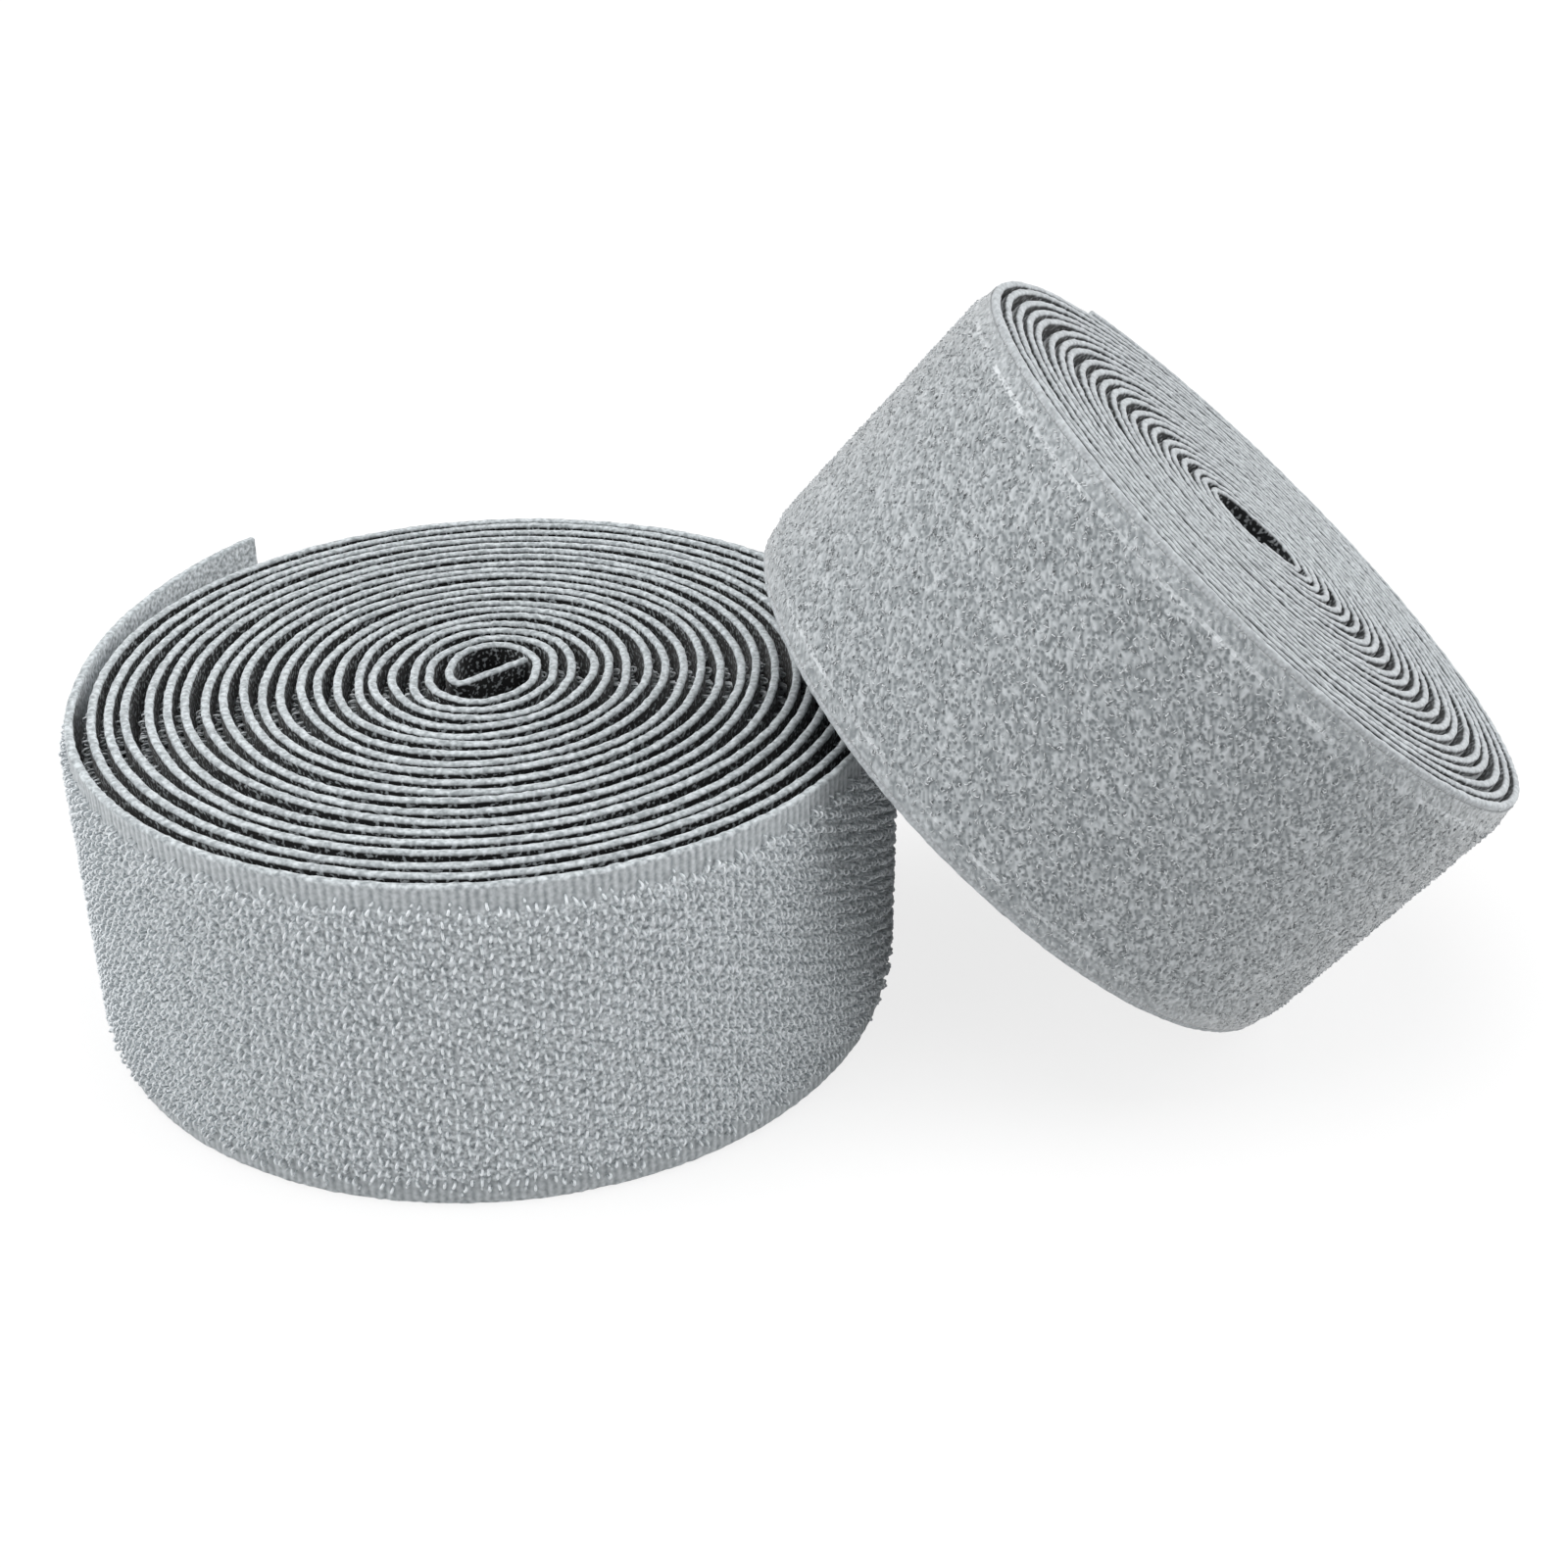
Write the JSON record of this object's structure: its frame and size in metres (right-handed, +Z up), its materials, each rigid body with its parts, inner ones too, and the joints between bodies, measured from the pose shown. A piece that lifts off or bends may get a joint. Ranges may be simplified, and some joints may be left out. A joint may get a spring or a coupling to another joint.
{
  "type": "hook and loop tape roll",
  "caption": "Hook tape and matching loop tape, each wound on itself without a core: the hook roll lies flat and the loop roll leans on its rim, each with a loose outer end.",
  "frame": {"origin": "on the surface that the pair stands on, under the middle of the box round both rolls", "axes": "+Z up, along the flat hook roll's axis; +X from the hook roll to the leaning loop roll; -Y towards the viewer of the picture"},
  "size_m": [0.2138, 0.1288, 0.1048],
  "materials": {
    "hook_ribbon": "woven nylon ribbon, grey",
    "hook_filament": "nylon monofilament hooks, grey, slightly glossy",
    "loop_ribbon": "woven nylon ribbon, grey",
    "loop_pile": "napped nylon loop pile, grey, matt"
  },
  "bodies": {
    "hook_roll": {"hook_tape_winding": "hook_ribbon", "hook_field": "hook_filament"},
    "hook_tail": {"hook_tape_tail": "hook_ribbon", "hook_tail_field": "hook_filament"},
    "loop_roll": {"loop_tape_winding": "loop_ribbon", "loop_field": "loop_pile"},
    "loop_tail": {"loop_tape_tail": "loop_ribbon", "loop_tail_field": "loop_pile"}
  },
  "joints": [
    {"name": "hook_tail_peel", "type": "hinge", "parent": "hook_roll", "child": "hook_tail", "pos_m": [-0.10549, 0.0029, 0.025], "axis": [0, 0, 1], "range_deg": [0, 80]},
    {"name": "loop_lift", "type": "slide", "parent": "hook_roll", "child": "loop_roll", "axis": [0, 0, 1], "range_m": [0, 0.12]},
    {"name": "loop_tail_peel", "type": "hinge", "parent": "loop_roll", "child": "loop_tail", "pos_m": [0.06059, 0.04281, 0.05255], "axis": [-0.6316, 0.1262, -0.7649], "range_deg": [0, 60]}
  ]
}
